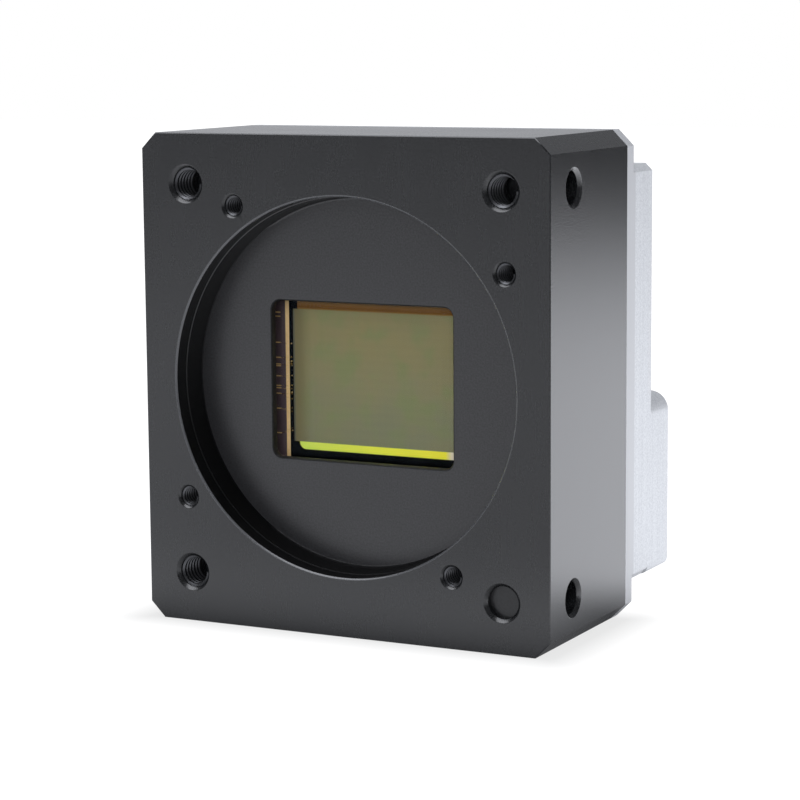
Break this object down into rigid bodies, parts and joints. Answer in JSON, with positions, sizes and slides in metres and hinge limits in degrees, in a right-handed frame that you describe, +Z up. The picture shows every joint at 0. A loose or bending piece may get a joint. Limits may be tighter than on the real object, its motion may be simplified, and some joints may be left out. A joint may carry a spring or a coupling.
{
  "type": "machine vision camera",
  "caption": "Compact machine vision camera: black milled front block with a round lens recess and window over an image sensor, and a silver stepped rear housing with sockets.",
  "frame": {"origin": "on the optical axis, in the plane of the front face", "axes": "+X to the right seen from the front, +Y from the front face to the back, +Z up"},
  "size_m": [0.056, 0.041, 0.062],
  "materials": {
    "black_anodised_aluminium": "milled, bead blasted and black anodised",
    "silver_anodised_aluminium": "milled and clear anodised",
    "stainless_steel": "turned, plain",
    "black_foam_rubber": "closed-cell foam, pressed flat",
    "cover_glass": "polished, coated against reflections",
    "glue_bead": "cured glue",
    "dark_ceramic": "fired dark alumina",
    "gold_plating": "gold over nickel",
    "silicon": "polished silicon with metal layers",
    "pixel_film": "pixel lenses over colour filters",
    "circuit_board": "glass epoxy with green mask",
    "brass_posts": "turned hexagonal bar",
    "connector_plastic": "moulded, glass filled",
    "chip_plastic": "moulded chip resin",
    "capacitor_ceramic": "fired ceramic",
    "nickel_plating": "nickel plate, satin",
    "clear_plastic": "clear moulded plastic",
    "led_plastic": "light source with yellow resin"
  },
  "bodies": {
    "root": {"front_housing": "black_anodised_aluminium", "rear_housing": "silver_anodised_aluminium", "closing_screws": "stainless_steel", "dust_seal": "black_foam_rubber", "sensor_lid": "cover_glass", "lid_seal": "glue_bead", "sensor_package": "dark_ceramic", "ground_ring": "gold_plating", "bond_fingers": "gold_plating", "sensor_die": "silicon", "pixel_array": "pixel_film", "sensor_pins": "gold_plating", "sensor_board": "circuit_board", "processor_board": "circuit_board", "interface_board": "circuit_board", "front_posts": "brass_posts", "rear_posts": "brass_posts", "front_board_plug": "connector_plastic", "front_board_socket": "connector_plastic", "rear_board_plug": "connector_plastic", "rear_board_socket": "connector_plastic", "processor_chip": "chip_plastic", "left_memory_chip": "chip_plastic", "right_memory_chip": "chip_plastic", "clock_module": "nickel_plating", "link_driver_chips": "chip_plastic", "power_capacitors": "capacitor_ceramic", "power_coil": "chip_plastic", "left_link_shell": "nickel_plating", "right_link_shell": "nickel_plating", "left_link_insulator": "connector_plastic", "right_link_insulator": "connector_plastic", "left_link_contacts": "gold_plating", "right_link_contacts": "gold_plating", "jack_screws": "nickel_plating", "power_shell": "nickel_plating", "power_insert": "connector_plastic", "power_pins": "gold_plating", "power_nut": "nickel_plating", "status_light": "clear_plastic", "status_led": "led_plastic"}
  },
  "joints": []
}
